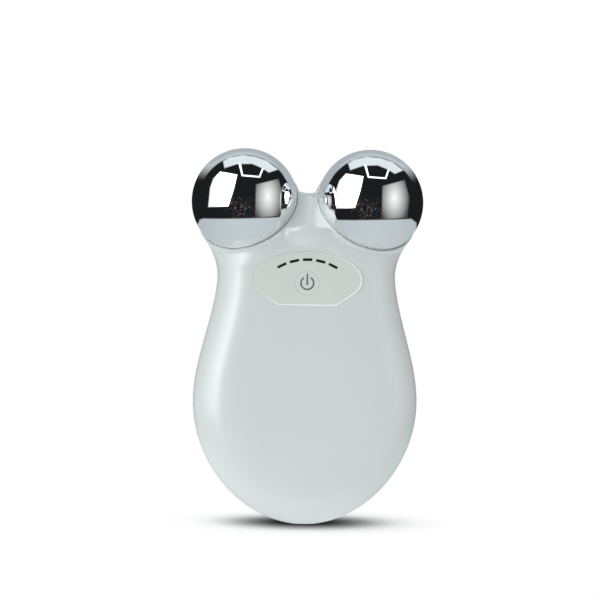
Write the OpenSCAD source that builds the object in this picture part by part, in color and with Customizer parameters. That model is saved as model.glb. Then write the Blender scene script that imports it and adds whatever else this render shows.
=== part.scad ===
// Facial toning device: a palm-sized moulded body with two fixed metal balls.
// Stands upright on the small flat at its lower end. The control panel faces -Y, +Z is up.
// The two shells part along the plane y = 0, and the origin is the mouth of the charging socket.

/* [Ball electrodes] */
// Diameter of each ball
ball_d = 31; // [28:0.5:32]
// Distance between the centres of the two balls
ball_spacing = 36.7; // [35.5:0.1:38]
// Height of the ball centres above the resting flat
ball_height = 94.5; // [92:0.5:98]
// Distance from the parting plane forward to the ball centres
ball_forward = 4; // [3:0.25:5]
// Wall thickness of the hollow ball
ball_wall = 1.6; // [1.2:0.1:2.4]
// Diameter of the threaded post inside each ball
ball_post_d = 8; // [6.5:0.5:10]
// Diameter of the small flat ground on the back of each ball
ball_flat_d = 5; // [4:0.25:6]

/* [Ball sockets] */
// Outward tilt of each socket's axis, in degrees
socket_out = 28; // [24:1:31]
// Forward tilt of each socket's axis, in degrees
socket_forward = 40; // [37:1:42]
// Distance from the ball centre back to the plane of the rim
rim_setback = 3.65; // [3:0.05:4.2]
// Gap between the ball and its seat
seat_gap = 0.08; // [0.06:0.01:0.2]
// Thickness of the thin lip round the ball
rim_lip = 0.5; // [0.4:0.05:0.8]
// Narrowing of the socket's wall behind the rim, in degrees
socket_taper = 4.5; // [2:0.5:7]
// Distance from the ball centre back to the end of the socket and of its screw's boss
socket_depth = 18; // [17.5:0.25:19]
// Thickness of plastic behind the seat
seat_wall = 1.8; // [1.6:0.1:2.2]

/* [Body form] */
// Width of the belly
belly_w = 65.8; // [62:0.2:68]
// Height of the belly's widest line
belly_z = 35.6; // [33:0.2:37]
// Drop of the lower end's oval below the widest line
belly_drop = 36; // [35.8:0.1:37.4]
// Fullness of the lower end's oval, where 2 is an ellipse
belly_fullness = 1.93; // [1.85:0.01:2.1]
// Width of the neck
neck_w = 51.8; // [49:0.2:54]
// Height at which the neck is narrowest
neck_z = 75; // [72:0.5:77]
// Height at which the top of the body starts to round over
shoulder_z = 72; // [70:0.5:74]
// Rise of the body's rounded top above that height
shoulder_rise = 21; // [20:0.5:22]
// Distance from the parting plane forward to the flat face
face_y = 12.8; // [12.4:0.1:13.2]
// Distance that the front's rolled form would reach without the flat face
front_crown = 14.2; // [14:0.1:14.8]
// Depth of the thumb hollow in the flat face
hollow_depth = 0.5; // [0.2:0.1:0.7]
// Distance from the parting plane back to the rear of the belly
rear_y = 16.5; // [16:0.1:18]
// Squareness of the front's rolled edge, where 2 is round
front_roll = 3.1; // [2.9:0.1:3.5]
// Squareness of the rear's rolled edge
rear_roll = 2.5; // [2.3:0.1:2.8]
// Wall thickness of both shells
wall = 2; // [1.8:0.1:2.2]
// Height of the tongue that locates the two shells
tongue_h = 1.2; // [0.8:0.1:1.6]

/* [Bridge between the balls] */
// Radius of the bridge at its upper end
bridge_top_r = 3.6; // [3.3:0.1:3.9]
// Height of the bridge's upper centre
bridge_top_z = 92.7; // [92.3:0.1:93.1]
// Radius of the rounded lower end
bridge_toe_r = 5.6; // [5.2:0.1:6]
// Height of the lower end's centre
bridge_toe_z = 86.8; // [86.2:0.1:87.4]
// Share by which the lower end is wider than it is deep
bridge_spread = 0.35; // [0.2:0.05:0.5]

/* [Control panel] */
// Width of the panel
panel_w = 32; // [30:0.5:34]
// Height of the panel's upper edge
panel_top_z = 80.3; // [79.6:0.1:80.6]
// Height of the panel's straight lower edge
panel_bottom_z = 64.6; // [63.6:0.1:65.6]
// Height of the panel's widest line
panel_mid_z = 71.8; // [71.4:0.1:72.2]
// Length of the straight lower edge
panel_foot_w = 16.8; // [15:0.2:18]
// Thickness of the panel
panel_t = 1; // [0.8:0.05:1.1]
// Gap round the panel in its recess
panel_gap = 0.05; // [0.04:0.01:0.15]
// Number of level windows
window_count = 5; // [3:2:5]
// Length of a level window
window_l = 2.6; // [2.2:0.1:2.9]
// Height of a level window
window_h = 0.62; // [0.5:0.02:0.8]
// Radius of the arc on which the windows lie
window_arc_r = 16.7; // [16:0.1:18]
// Angle between neighbouring windows, in degrees
window_step = 13.2; // [12.5:0.1:14]
// Height of the middle window
window_z = 78; // [77.6:0.1:78.2]

/* [Power button] */
// Diameter of the button's face
button_d = 7; // [6:0.2:7.4]
// Height of the button's centre
button_z = 71.2; // [70.8:0.1:71.6]
// Travel of the button
button_travel = 0.4; // [0.2:0.05:0.5]
// Running gap round the button
button_gap = 0.06; // [0.04:0.01:0.1]
// Width by which the retaining flange stands out round the button
flange_out = 0.9; // [0.7:0.1:1.2]
// Thickness of the retaining flange
flange_t = 0.8; // [0.6:0.1:1]

/* [Circuit board] */
// Distance from the parting plane forward to the board's front face
board_y = 4.8; // [4.6:0.1:5]
// Thickness of the board
board_t = 1; // [0.8:0.1:1.2]
// Height of the board's lower edge
board_bottom_z = 45; // [44:0.5:46]
// Height of the board's upper edge
board_top_z = 79.3; // [78.8:0.1:79.5]
// Width of the board
board_w = 34; // [33:0.5:36]
// Width of the board's narrow upper end
board_neck_w = 17; // [16.4:0.2:18]
// Side of the square tact switch
switch_w = 6; // [5:0.2:6.4]
// Height of the tact switch's case
switch_h = 3.5; // [3.3:0.1:3.6]
// Diameter of the switch's plunger
plunger_d = 3.4; // [2.8:0.1:3.6]
// Height by which the plunger stands out of its case at rest
plunger_out = 0.8; // [0.7:0.05:0.9]

/* [Power pack] */
// Width of the battery cell
cell_w = 26; // [22:0.5:28]
// Height of the battery cell
cell_h = 38; // [30:0.5:40]
// Thickness of the battery cell
cell_t = 5.2; // [4.4:0.1:5.4]
// Height of the cell's lower edge
cell_z = 24; // [22:0.5:25]
// Distance from the parting plane back to the cell
cell_y = 4; // [3.8:0.1:4.4]
// Thickness of the foam pad behind the cell
pad_t = 1; // [0.8:0.1:1.2]

/* [Charging socket] */
// Width and depth of the socket's case
jack_w = 6.4; // [6:0.1:7]
// Length of the socket's case
jack_l = 11; // [10:0.5:12]
// Diameter of the hole for the plug
jack_bore_d = 3.6; // [3.4:0.05:3.8]
// Diameter of the socket's centre pin
jack_pin_d = 1.3; // [1.1:0.05:1.4]
// Distance from the resting flat up to the socket's case
jack_recess = 2.2; // [2:0.1:2.6]

/* [Hidden] */
$fn = 64;

// Small clearances and thicknesses that several pieces share
touch = 0.05;
embed = 0.6;
far = 60;

// Balls and sockets
ball_r = ball_d / 2;
ball_x = ball_spacing / 2;
seat_r = ball_r + seat_gap;
rim_r = sqrt(seat_r * seat_r - rim_setback * rim_setback) + rim_lip;
rim_forward = ball_forward - rim_setback * sin(socket_forward) + rim_r * cos(socket_forward);
keep_r = seat_r + seat_wall;
flat_h = sqrt(ball_r * ball_r - ball_flat_d * ball_flat_d / 4);
socket_axis = [
    sin(socket_out) * cos(socket_forward),
    -sin(socket_forward),
    cos(socket_out) * cos(socket_forward)
];
socket_front = 6;
socket_end_round = 10;
rim_band_h = 1.6;
rim_band_dip = 0.35;
rim_band_proud = 0.06;
fillet = 5;
rear_fillet = 6;
fillet_fade = 4;
screw_r = 1.45;
screw_l = 8;
screw_hole_r = 1.6;
screw_head_r = 2.75;
screw_head_h = 2.1;
boss_r = 3.4;
boss_end = socket_depth;
terminal_t = 0.6;
terminal_r = 3;
terminal_tail = 7;
pocket_clear = 0.5;

// Rolled form of the body
face_blend = 1.6;
hollow_z = 36;
hollow_half = [20, 24];
hollow_edge = 1.15;
front_crown_head = front_crown - 0.4;
rear_y_head = rear_y - 0.5;
shoulder_roll = 2.4;
waist_z = 36;
core_z = 72;
grid_middle_z = 52;
grid_half_height = 54;
bridge_blend = 1.6;
bridge_top_y = ball_forward + 3.2;
bridge_toe_y = ball_forward + 5.2;

// Grid on which the shells are worked out
around = 96;
rows_front = 25;
rows_rear = 13;
rows_in = 9;
row_power = 1.55;
row_lift = 0.15;
top_crowding = 12;

// Panel, button and switch, as distances forward of the parting plane
panel_front = face_y + touch;
pocket_floor = panel_front - panel_t - touch;
inner_face = face_y - wall;
button_r = button_d / 2;
button_hole_r = button_r + button_gap;
flange_r = button_r + flange_out;
flange_front = inner_face - touch;
flange_back = flange_front - flange_t;
switch_front = board_y + switch_h;
plunger_front = switch_front + plunger_out;
stem_r = plunger_d / 2;
plunger_gap = 0.03;
window_gap = 0.04;
guide_t = 0.8;
guide_edge = 0.6;
guide_end_angle = 6;
led_l = 1.6;
led_w = 0.8;
led_h = 0.6;
led_clear = 0.2;

// Board and its fasteners
board_back = board_y - board_t;
board_hole_x = board_w / 2 - 3.6;
board_hole_z = [49.5, 66.5];
post_r = 2.2;
post_bore_r = 0.85;
board_screw_r = 0.8;
board_screw_l = 5;
board_screw_head_r = 1.7;
board_screw_head_h = 1.2;
header_z = board_bottom_z + 1;
board_corner = 3;
board_shoulder_z = 70;
controller_size = [7, 1, 7];
controller_z = board_bottom_z + 10.5;
charger_size = [3, 1.1, 2];
charger_corner = [board_w / 2 - 10.5, board_bottom_z + 7];
coil_place = [8 - board_w / 2, board_bottom_z + 12];
coil_flange_r = 2.8;
coil_flange_t = 0.5;
coil_core_r = 2;
coil_h = 2.1;
capacitor_size = [1, 0.8, 2];
capacitor_count = 4;
capacitor_pitch = 1.9;
capacitor_corner = [board_w / 2 - 11, board_bottom_z + 12.5];
header_size = [5.8, 3, 4];
header_wall = [0.7, 0.5, 1];
header_inside = header_size[0] - 2 * header_wall[0];
plug_clear = 0.1;
plug_proud = 2;
plug_w = header_inside - 2 * plug_clear;
plug_t = header_size[1] - 2 * header_wall[1] - plug_clear;
lead_r = 0.5;

// Rear tray for the cell
pad_back = cell_y + cell_t + pad_t;
pad_inset = 2;
tray_rib_x = 9;
tray_rib_t = 1.4;
tray_wall_t = 1.2;
tray_setback = 1;
tray_corner = 4;
tray_foot_w = 12;
tray_stop_w = 4;
cell_gap = 0.3;
hook_z = [24, 52];
hook_l = 6;
hook_t = 1.2;
hook_reach = 3.9;
hook_inset = 0.98;
catch_y = 1.9;
catch_t = 0.9;
catch_overhang = 0.5;

// Charging socket
jack_mouth_r = jack_bore_d / 2 + 0.25;
jack_clamp_t = 1.4;
jack_rib_h = 2;
jack_overlap = 0.4;
clamp_z = 7;

// ---- functions ----

// Smooth step from 0 to 1
function ease(t) = let (c = min(max(t, 0), 1)) c * c * (3 - 2 * c);

// Smaller of two distances, with a fillet of width k where they meet
function soft_min(a, b, k) = let (h = max(k - abs(a - b), 0) / max(k, 0.001)) min(a, b) - h * h * k / 4;
function soft_max(a, b, k) = -soft_min(-a, -b, k);

// Half width of the body at a height
function half_width(z) = belly_w / 2 + (neck_w - belly_w) / 2 * ease((z - waist_z) / (neck_z - waist_z));

// Share of the way from the middle line to the body's outline: 1 on the outline
function outline_share(x, z) =
    let (across = abs(x) / half_width(z))
    z < shoulder_z
        ? pow(pow(across, belly_fullness) + pow(max(belly_z - z, 0) / belly_drop, belly_fullness),
              1 / belly_fullness)
        : pow(pow(across, shoulder_roll) + pow((z - shoulder_z) / shoulder_rise, shoulder_roll),
              1 / shoulder_roll);

// Distance forward to the flat face, less the thumb hollow
function face_depth(x, z) =
    face_y - hollow_depth * ease(hollow_edge - norm([x / hollow_half[0], (z - hollow_z) / hollow_half[1]]));

// Distance of a point from the body's own surface, before the sockets are added
function body_distance(x, y, z) =
    let (
        head = ease((z - belly_z) / (neck_z + 6 - belly_z)),
        front = y < 0,
        depth = front ? front_crown + (front_crown_head - front_crown) * head
                      : rear_y + (rear_y_head - rear_y) * head,
        roll = front ? front_roll : rear_roll,
        share = max(outline_share(x, z), 0.0001),
        away = max(abs(y) / depth, 0.0001),
        reach = pow(pow(share, roll) + pow(away, roll), 1 / roll),
        slope = norm([pow(share / reach, roll - 1) / half_width(z), pow(away / reach, roll - 1) / depth]),
        rolled = (reach - 1) / slope
    )
    soft_max(rolled, -y - face_depth(x, z), face_blend);

// Distance along a socket's axis from the ball centre: negative behind it
function along_socket(x, y, z) = [x - ball_x, y + ball_forward, z - ball_height] * socket_axis;

// Distance from a socket's tapered wall, closed by a rounded end
function socket_distance(x, y, z) =
    let (
        h = along_socket(x, y, z),
        from_centre = norm([x - ball_x, y + ball_forward, z - ball_height]),
        r = sqrt(max(from_centre * from_centre - h * h, 0)),
        side = (r - rim_r - (h + rim_setback) * tan(socket_taper)) * cos(socket_taper),
        ahead = h > -rim_setback ? -y - rim_forward - rim_lip : -1
    )
    max(soft_max(side, -h - socket_depth, socket_end_round), h - socket_front, ahead);

// Half width of the body's outline at a height
function outline_x(z) =
    half_width(z) * pow(1 - pow(max(belly_z - z, 0) / belly_drop, belly_fullness), 1 / belly_fullness);

// Depth of the body on its middle line, to the rear and to the front
function rear_depth(z) = rear_y * pow(1 - pow(outline_share(0, z), rear_roll), 1 / rear_roll);
function front_depth(z) =
    min(face_y, front_crown * pow(1 - pow(outline_share(0, z), front_roll), 1 / front_roll));

// Width of the fillet between socket and body: none at the rim, wider at the rear
function fillet_at(x, y, z) =
    (fillet + rear_fillet * ease((y - 2) / 8)) * ease((-rim_setback - along_socket(x, y, z)) / fillet_fade);

// Distance from the bridge, a bar between the balls that grows deeper and wider towards its lower end
function bridge_distance(x, y, z) =
    let (
        from = [-bridge_top_y, bridge_top_z],
        run = [-bridge_toe_y, bridge_toe_z] - from,
        off = [y, z] - from,
        t = min(max(off * run / (run * run), 0), 1),
        across = x / (1 + bridge_spread * ease(t))
    )
    norm([across, norm(off - run * t)]) - (bridge_top_r + (bridge_toe_r - bridge_top_r) * ease(t));

// Distance from the outside of the whole moulding
function outside_distance(x, y, z) =
    let (
        body = body_distance(x, y, z),
        one = soft_min(body, socket_distance(x, y, z), fillet_at(x, y, z)),
        two = soft_min(one, socket_distance(-x, y, z), fillet_at(-x, y, z))
    )
    soft_min(two, bridge_distance(x, y, z), bridge_blend);

// Distance from the hollow inside, which keeps clear of the ball seats
function inside_distance(x, y, z) =
    max(body_distance(x, y, z) + wall,
        keep_r - norm([abs(x) - ball_x, y + ball_forward, z - ball_height]));

function field(p, inner) = inner ? inside_distance(p[0], p[1], p[2]) : outside_distance(p[0], p[1], p[2]);

// Distance from the core out to the surface in one direction, found by halving
function reach_out(way, low, high, steps, inner) =
    let (mid = (low + high) / 2)
    steps == 0
        ? mid
        : field([0, 0, core_z] + way * mid, inner) > 0
            ? reach_out(way, low, mid, steps - 1, inner)
            : reach_out(way, mid, high, steps - 1, inner);

// Direction of a grid column in the parting plane, closer together towards the top
function column_way(i) =
    let (u = 360 * i / around + 90, a = u + top_crowding * cos(u))
    let (v = [belly_w / 2 * cos(a), 0, grid_middle_z - core_z + grid_half_height * sin(a)])
    v / norm(v);

// Angle of a grid row away from the parting plane, closer together towards the outline
function row_angle(j, rows) = 90 * pow(j / rows, row_power);

// Point on the surface for a column and a row, on the side that facing gives
function surface_point(i, j, rows, facing, inner) =
    let (
        a = row_angle(j, rows),
        way = column_way(i) * cos(a) + [0, facing * sin(a), 0]
    )
    [0, 0, core_z] + way * reach_out(way, 3, 78, 13, inner);

// One side of a row as worked out, then its mirror image
function mirrored_row(half) = [
    for (i = [0 : around - 1])
        i <= around / 2 ? half[i] : [-half[around - i][0], half[around - i][1], half[around - i][2]]
];

function surface_row(j, rows, facing, inner) =
    mirrored_row([for (i = [0 : around / 2]) surface_point(i, j, rows, facing, inner)]);

// Point a set distance inside another, towards the core, and at a set distance from the parting plane
function stepped_row(row, inset, y) = [
    for (p = row)
        let (v = p - [0, 0, core_z], l = norm([v[0], v[2]]))
        [v[0] * (l - inset) / l, y, core_z + v[2] * (l - inset) / l]
];

// A row with every point held at least a set distance away from the parting plane
function lifted_row(row, y) = [for (p = row) [p[0], max(p[1], y), p[2]]];

// Triangles between neighbouring rows of a closed grid, and the fans that close its two ends
function grid_faces(rows, turn) =
    let (
        n = around,
        first = rows * n,
        last = first + 1,
        faces = concat(
            [for (j = [0 : rows - 2], i = [0 : n - 1]) let (k = (i + 1) % n)
                [j * n + i, j * n + k, (j + 1) * n + k]],
            [for (j = [0 : rows - 2], i = [0 : n - 1]) let (k = (i + 1) % n)
                [j * n + i, (j + 1) * n + k, (j + 1) * n + i]],
            [for (i = [0 : n - 1]) [first, (i + 1) % n, i]],
            [for (i = [0 : n - 1]) [last, (rows - 1) * n + i, (rows - 1) * n + (i + 1) % n]]
        )
    )
    turn ? [for (f = faces) [f[0], f[2], f[1]]] : faces;

// Sides of a tube swept along a route: an eight-sided ring at each point, square to the route
function ring_at(route, i, r) =
    let (
        a = route[max(i - 1, 0)],
        b = route[min(i + 1, len(route) - 1)],
        t = (b - a) / norm(b - a),
        s = cross(t, abs(t[0]) < 0.9 ? [1, 0, 0] : [0, 1, 0]),
        u = s / norm(s),
        v = cross(t, u)
    )
    [for (k = [0 : 7]) route[i] + r * (u * cos(45 * k) + v * sin(45 * k))];

// ---- shared shapes ----

// Puts its children in a ball's own frame: the ball centre at the origin, +Z out of the socket
module at_ball(side) {
    translate([side * ball_x, -ball_forward, ball_height])
        rotate([0, side * socket_out, 0])
            rotate([socket_forward, 0, 0])
                children();
}

// Extrudes a flat outline drawn in X and Z from one distance forward of the parting plane to another
module forward_slab(from, to) {
    translate([0, -from, 0])
        rotate([90, 0, 0])
            linear_extrude(height = to - from)
                children();
}

// A round bar along Y between two distances forward of the parting plane
module forward_bar(x, z, r, from, to) {
    translate([x, -from, z])
        rotate([90, 0, 0])
            cylinder(r = r, h = to - from);
}

// A box given by its two corners
module block(low, high) {
    translate(low)
        cube(high - low);
}

// A lead: a tube along its route
module lead(route, r) {
    rings = len(route);
    points = [for (i = [0 : rings - 1], p = ring_at(route, i, r)) p];
    corners = [for (i = [0 : rings - 2], k = [0 : 7]) [8 * i + k, 8 * i + (k + 1) % 8]];
    sides = [
        for (c = corners, half = [0, 1])
            half == 0 ? [c[0], c[1] + 8, c[1]] : [c[0], c[0] + 8, c[1] + 8]
    ];
    ends = [[for (k = [0 : 7]) k], [for (k = [7 : -1 : 0]) 8 * (rings - 1) + k]];
    polyhedron(points = points, faces = concat(sides, ends), convexity = 6);
}

// Half of the hollow moulding, with the stepped edge that meets the other half
module half_moulding(facing) {
    front = facing < 0;
    rows_out = front ? rows_front : rows_rear;
    outer_rows = [for (j = [rows_out - 1 : -1 : 0]) surface_row(j, rows_out, facing, false)];
    inner_rows = [for (j = [0 : rows_in - 1]) surface_row(j, rows_in, facing, true)];
    edge = outer_rows[rows_out - 1];
    inset = wall * 0.55 + (front ? touch : -touch);
    height = front ? tongue_h : tongue_h + touch * 2;
    step_rows = [
        stepped_row(edge, inset, 0),
        stepped_row(edge, inset, height),
        stepped_row(inner_rows[0], 0, height)
    ];
    kept_inner = [
        for (j = [front ? 0 : 1 : rows_in - 1])
            front ? inner_rows[j] : lifted_row(inner_rows[j], height + row_lift * j)
    ];
    rows = concat(outer_rows, step_rows, kept_inner);
    poles = [
        surface_point(0, rows_out, rows_out, facing, false),
        surface_point(0, rows_in, rows_in, facing, true)
    ];
    points = concat([for (row = rows, p = row) p], poles);
    polyhedron(points = points, faces = grid_faces(len(rows), !front), convexity = 8);
}

// Lip round each ball: a short flared band on one side of the parting plane
module rim_bands(facing) {
    run = rim_band_h + embed;
    flare = (rim_band_dip + rim_band_proud) / rim_band_h;
    intersection() {
        facing_block(facing, [-far, 0, ball_height - far], [far, far, ball_height + far]);
        for (side = [-1, 1])
            at_ball(side)
                translate([0, 0, -rim_setback - rim_band_h])
                    cylinder(r1 = rim_r - rim_band_dip, r2 = rim_r - rim_band_dip + flare * run, h = run);
    }
}

// Where the front shell's tongue stops short of the lips
module tongue_ends() {
    intersection() {
        facing_block(1, [-far, 0, ball_height - far], [far, far, ball_height + far]);
        for (side = [-1, 1])
            at_ball(side)
                translate([0, 0, -rim_setback - rim_band_h - 2 * touch])
                    cylinder(r = rim_r + 2, h = rim_band_h + socket_front);
    }
}

// A ball seat behind its rim, worked out ring by ring with flat faces
module seat_bowl() {
    turns = $fn;
    rings = $fn / 4;
    brim = acos((embed - rim_setback) / seat_r);
    points = [
        for (j = [0 : rings - 1], i = [0 : turns - 1])
            let (a = brim + (180 - brim) * j / rings, t = 360 * i / turns)
            seat_r * [sin(a) * cos(t), sin(a) * sin(t), cos(a)]
    ];
    sides = [
        for (j = [0 : rings - 2], i = [0 : turns - 1])
            let (k = (i + 1) % turns)
            [j * turns + i, j * turns + k, (j + 1) * turns + k, (j + 1) * turns + i]
    ];
    lid = [for (i = [turns - 1 : -1 : 0]) i];
    foot = [for (i = [0 : turns - 1]) (rings - 1) * turns + i];
    polyhedron(points = points, faces = concat(sides, [lid, foot]));
}

// What is cut from both halves: ball seats, the face of each rim, the resting flat and the socket's mouth
module common_cuts(facing) {
    for (side = [-1, 1])
        at_ball(side) {
            if (facing < 0)
                sphere(r = seat_r);
            else
                seat_bowl();
            translate([0, 0, -rim_setback])
                cylinder(r = rim_r + 7, h = socket_front + rim_setback + ball_d);
        }
    block([-far, -far, -10], [far, far, 0]);
    translate([0, 0, -1])
        cylinder(r = jack_mouth_r, h = jack_recess + 4);
    jack_seat = jack_w / 2 + touch;
    block([-jack_seat, -jack_seat, jack_recess - touch],
          [jack_seat, jack_seat, jack_recess + jack_l + touch]);
}

// Outline of the control panel: an oval whose lower side is cut off straight and at two slants
module panel_outline(grow) {
    half = panel_w / 2 + grow;
    upper = panel_top_z - panel_mid_z + grow;
    lower = panel_mid_z - panel_bottom_z + grow;
    foot = panel_foot_w / 2 + grow * 0.6;
    points = concat(
        [for (a = [0 : 6 : 180]) [half * cos(a), panel_mid_z + upper * pow(sin(a), 0.92)]],
        [for (a = [12 : 12 : 36]) [-half * cos(a), panel_mid_z - lower * sin(a)]],
        [[-foot, panel_mid_z - lower], [foot, panel_mid_z - lower]],
        [for (a = [36 : -12 : 12]) [half * cos(a), panel_mid_z - lower * sin(a)]]
    );
    polygon(points);
}

// Puts its children at each level window, turned to follow the arc
module at_windows() {
    for (i = [0 : window_count - 1]) {
        a = (i - (window_count - 1) / 2) * window_step;
        translate([window_arc_r * sin(a), window_z - window_arc_r * (1 - cos(a))])
            rotate(-a)
                children();
    }
}

// ---- housing ----

module front_shell() {
    color("whitesmoke")
        difference() {
            union() {
                half_moulding(-1);
                rim_bands(-1);
                for (side = [-1, 1], z = board_hole_z)
                    forward_bar(side * board_hole_x, z, post_r, board_y, inner_face + embed);
                jack_clamp(-1);
                for (side = [-1, 1], z = hook_z)
                    snap_hook(side, z);
            }
            common_cuts(-1);
            tongue_ends();
            forward_slab(pocket_floor, far)
                panel_outline(panel_gap);
            forward_bar(0, button_z, button_hole_r, inner_face - 1, far);
            forward_slab(inner_face - 1, far)
                at_windows()
                    square([window_l + 2 * window_gap, window_h + 2 * window_gap], center = true);
            forward_bar(0, button_z, flange_r + embed, switch_front, inner_face);
            forward_slab(switch_front, inner_face)
                guide_outline(embed);
            for (side = [-1, 1], z = board_hole_z)
                forward_bar(side * board_hole_x, z, post_bore_r, board_y - 1, inner_face - touch);
        }
}

module rear_shell() {
    color("white")
        difference() {
            union() {
                difference() {
                    union() {
                        half_moulding(1);
                        rim_bands(1);
                        cell_tray();
                        jack_clamp(1);
                        for (side = [-1, 1], z = hook_z)
                            hook_catch(side, z);
                        for (side = [-1, 1])
                            at_ball(side)
                                ball_bar(boss_r, -boss_end - embed, -seat_r + embed);
                    }
                    common_cuts(1);
                    for (side = [-1, 1])
                        at_ball(side)
                            terminal_pocket();
                }
                for (side = [-1, 1])
                    at_ball(side)
                        ball_bar(ball_flat_d / 2, -seat_r - embed / 2, -flat_h);
            }
            for (side = [-1, 1])
                at_ball(side)
                    ball_bar(screw_hole_r, -boss_end - embed, embed - flat_h);
        }
}

// A round bar along a ball's axis between two heights
module ball_bar(r, low, high) {
    translate([0, 0, low])
        cylinder(r = r, h = high - low);
}

// Room behind a ball's boss for the screw and its terminal
module terminal_pocket() {
    back = -boss_end - terminal_t - screw_head_h - pocket_clear;
    ball_bar(terminal_r + pocket_clear, back, -boss_end);
    translate([-1 - pocket_clear, -terminal_tail - 1, back])
        cube([2 + 2 * pocket_clear, terminal_tail + 1, -boss_end - back]);
}

// Ribs behind the cell that carry its foam pad, and the walls that hold the cell's edges
module cell_tray() {
    wall_x = cell_w / 2 + cell_gap;
    low = cell_z - cell_gap;
    high = cell_z + cell_h + cell_gap;
    front = cell_y + tray_setback;
    back = rear_y - wall + embed;
    for (side = [-1, 1]) {
        wall_mid = side * (wall_x + tray_wall_t / 2);
        block([side * tray_rib_x - tray_rib_t / 2, pad_back, cell_z],
              [side * tray_rib_x + tray_rib_t / 2, back - embed / 2, cell_z + cell_h]);
        block([wall_mid - tray_wall_t / 2, front, cell_z + tray_corner],
              [wall_mid + tray_wall_t / 2, back - 1, cell_z + cell_h - tray_corner]);
    }
    block([-tray_foot_w / 2, front, low - tray_wall_t],
          [tray_foot_w / 2, rear_depth(low - tray_wall_t) - wall / 2, low]);
    for (side = [-1, 1])
        block([side * tray_rib_x - tray_stop_w / 2, front, high],
              [side * tray_rib_x + tray_stop_w / 2, back, high + tray_wall_t]);
}

// Half of the clamp round the charging socket's case: cheeks, a backing rib and an end stop
module jack_clamp(facing) {
    half = jack_w / 2 + touch;
    top = jack_recess + jack_l;
    deep = (facing > 0 ? rear_depth(clamp_z) : front_depth(clamp_z)) - wall / 2;
    start = facing > 0 ? touch : 0;
    wide = half + jack_overlap;
    for (side = [-1, 1]) {
        cheek = side * (half + jack_clamp_t / 2);
        facing_block(facing, [cheek - jack_clamp_t / 2, start, clamp_z],
                     [cheek + jack_clamp_t / 2, deep, top + embed]);
    }
    facing_block(facing, [-wide, half, clamp_z + 1], [wide, deep, clamp_z + 1 + jack_rib_h]);
    facing_block(facing, [-wide, start, top + touch], [wide, deep, top + touch + jack_clamp_t]);
}

// A box on one side of the parting plane, given by its distances from that plane
module facing_block(facing, low, high) {
    near = facing > 0 ? low[1] : -high[1];
    away = facing > 0 ? high[1] : -low[1];
    block([low[0], near, low[2]], [high[0], away, high[2]]);
}

// Inside of the side wall along a hook's whole height
function hook_wall_x(z) = min(outline_x(z - hook_l / 2), outline_x(z + hook_l / 2)) * hook_inset - wall;

// Springy hook on the front shell, with a barb that snaps behind the rear shell's catch
module snap_hook(side, z) {
    x = hook_wall_x(z) - catch_t - touch * 2;
    arm = [[x - hook_t, -8], [x, -8], [x, hook_reach - 1], [x + catch_t * 0.8, hook_reach - 0.9],
           [x + 0.1, hook_reach + 0.6], [x - hook_t, hook_reach + 0.6]];
    translate([0, 0, z - hook_l / 2])
        linear_extrude(height = hook_l)
            polygon([for (p = arm) [side * p[0], p[1]]]);
}

// Ledge on the rear shell behind which a hook's barb rests
module hook_catch(side, z) {
    x = hook_wall_x(z);
    low = side > 0 ? x - catch_t : -x - embed;
    half = hook_l / 2 + catch_overhang;
    block([low, catch_y, z - half], [low + catch_t + embed, hook_reach - 1 - touch, z + half]);
}

// ---- panel, button and level windows ----

module control_panel() {
    color("honeydew")
        difference() {
            forward_slab(pocket_floor, panel_front)
                panel_outline(0);
            forward_bar(0, button_z, button_hole_r, 0, far);
            forward_slab(0, far)
                at_windows()
                    square([window_l + 2 * window_gap, window_h + 2 * window_gap], center = true);
        }
}

module power_button() {
    color("azure") {
        forward_bar(0, button_z, button_r, flange_front - 0.1, panel_front - touch);
        forward_bar(0, button_z, flange_r, flange_back, flange_front);
        forward_bar(0, button_z, stem_r, plunger_front + plunger_gap, flange_back + 0.1);
    }
}

// Outline of the guide's carrier: an arc that follows the level windows
module guide_outline(grow) {
    carrier_out = window_arc_r + window_h / 2 + guide_edge + grow;
    carrier_in = window_arc_r - window_h / 2 - guide_edge - grow;
    half_span = (window_count - 1) / 2 * window_step + guide_end_angle + 4 * grow;
    arc = [for (a = [-half_span : half_span / 8 : half_span + 0.001]) a];
    translate([0, window_z - window_arc_r])
        polygon(concat(
            [for (a = arc) carrier_out * [sin(a), cos(a)]],
            [for (i = [len(arc) - 1 : -1 : 0]) carrier_in * [sin(arc[i]), cos(arc[i])]]
        ));
}

// One moulding: a carrier behind the panel, a window through it for each level, and a prong to each lamp
module light_guide() {
    color("dimgray") {
        forward_slab(inner_face - touch - guide_t, inner_face - touch)
            guide_outline(0);
        forward_slab(inner_face - touch - 0.1, panel_front - touch)
            at_windows()
                square([window_l, window_h], center = true);
        forward_slab(board_y + led_h + led_clear, inner_face - guide_t)
            at_windows()
                square([led_l, led_w], center = true);
    }
}

// ---- ball electrodes ----

// Hollow ball with a flat at the back and a threaded post for its screw
module ball(side) {
    color("gainsboro")
        at_ball(side)
            difference() {
                sphere(r = ball_r, $fn = 96);
                difference() {
                    sphere(r = ball_r - ball_wall, $fn = 96);
                    translate([0, 0, -ball_r])
                        cylinder(d = ball_post_d, h = screw_l + 3);
                }
                translate([0, 0, -ball_r - 1])
                    cylinder(r = ball_d, h = ball_r + 1 - flat_h);
                translate([0, 0, -ball_r - 1])
                    cylinder(r = screw_r + touch, h = screw_l + 5);
            }
}

module left_ball() {
    ball(-1);
}

module right_ball() {
    ball(1);
}

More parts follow.
